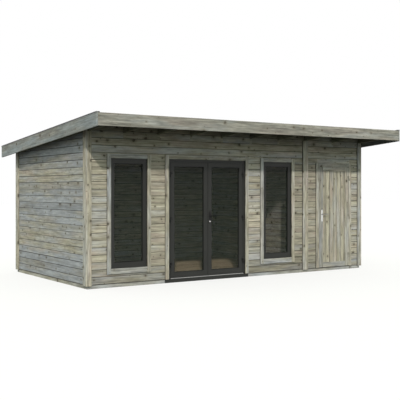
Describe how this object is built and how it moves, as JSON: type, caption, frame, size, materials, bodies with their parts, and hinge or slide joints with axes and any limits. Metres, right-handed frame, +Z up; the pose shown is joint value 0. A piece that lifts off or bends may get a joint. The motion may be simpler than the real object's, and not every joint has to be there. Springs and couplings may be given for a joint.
{
  "type": "garden shed",
  "caption": "Boarded timber garden shed with a pent roof and deep front overhang, glazed double doors, tall fixed windows and a side store with its own boarded door.",
  "frame": {"origin": "ground level under the middle of the roof", "axes": "+X along the front towards the store, +Y from the front to the rear, +Z up"},
  "size_m": [6.326, 4.039, 2.664],
  "materials": {
    "wall_boards": "grey impregnated pine boards, knotty, matt",
    "trim_timber": "grey impregnated planed pine, matt",
    "base_timber": "weathered grey impregnated beams",
    "floor_timber": "planed pine floor boards",
    "roof_timber": "sawn pine in shade",
    "dark_frames": "anthracite paint, satin",
    "panes": "clear float glass",
    "threshold_metal": "mill finish with scuffs",
    "hinge_metal": "dark coated steel",
    "dark_handle": "dark coated, satin",
    "bright_metal": "satin steel",
    "roof_sheet": "black roofing sheet with dust",
    "strip_metal": "dark coated edge strip"
  },
  "bodies": {
    "shed": {"base_beams": "base_timber", "base_cross_beams": "base_timber", "floor_joists": "base_timber", "floor_boards": "floor_timber", "left_wall": "wall_boards", "right_wall": "wall_boards", "rear_wall": "wall_boards", "partition_wall": "wall_boards", "front_wall_left": "wall_boards", "front_wall_middle": "wall_boards", "front_wall_right": "wall_boards", "front_wall_head": "wall_boards", "corner_side_boards": "trim_timber", "corner_face_boards": "trim_timber", "partition_cover_boards": "trim_timber", "window_frames": "dark_frames", "window_glass": "panes", "window_trims": "trim_timber", "door_frame": "dark_frames", "door_sill": "dark_frames", "door_threshold": "threshold_metal", "door_trim": "trim_timber", "hinge_pins": "hinge_metal", "store_door_frame": "trim_timber", "store_door_trim": "trim_timber", "rafters": "roof_timber", "roof_deck": "roof_timber", "roof_covering": "roof_sheet", "front_fascia": "trim_timber", "rear_fascia": "trim_timber", "barge_boards": "trim_timber", "edge_strips": "strip_metal"},
    "left_leaf": {"left_leaf_frame": "dark_frames", "left_leaf_glass": "panes", "left_leaf_hinges": "hinge_metal"},
    "right_leaf": {"right_leaf_frame": "dark_frames", "right_leaf_glass": "panes", "right_leaf_hinges": "hinge_metal", "door_handle_plates": "dark_handle", "door_lock_cylinder": "bright_metal"},
    "door_handle": {"door_lever": "dark_handle"},
    "store_leaf": {"store_leaf_frame": "trim_timber", "store_leaf_panel": "wall_boards", "store_leaf_hinges": "hinge_metal", "store_handle_plates": "bright_metal"},
    "store_handle": {"store_lever": "bright_metal"}
  },
  "joints": [
    {"name": "left_leaf_hinge", "type": "hinge", "parent": "shed", "child": "left_leaf", "pos_m": [-1.4283, -1.2305, 1], "axis": [0, 0, -1], "range_deg": [0, 110]},
    {"name": "right_leaf_hinge", "type": "hinge", "parent": "shed", "child": "right_leaf", "pos_m": [0.0567, -1.2305, 1], "axis": [0, 0, 1], "range_deg": [0, 110]},
    {"name": "door_lever_turn", "type": "hinge", "parent": "right_leaf", "child": "door_handle", "pos_m": [-0.6433, -1.2225, 1.085], "axis": [0, 1, 0], "range_deg": [0, 40], "stiffness_Nm_per_rad": 1.5, "springref_deg": -22.92},
    {"name": "store_door_hinge", "type": "hinge", "parent": "shed", "child": "store_leaf", "pos_m": [2.5965, -1.2525, 1], "axis": [0, 0, 1], "range_deg": [0, 110]},
    {"name": "store_lever_turn", "type": "hinge", "parent": "store_leaf", "child": "store_handle", "pos_m": [1.89662, -1.2225, 1.07], "axis": [0, 1, 0], "range_deg": [0, 40], "stiffness_Nm_per_rad": 1.5, "springref_deg": -22.92}
  ]
}
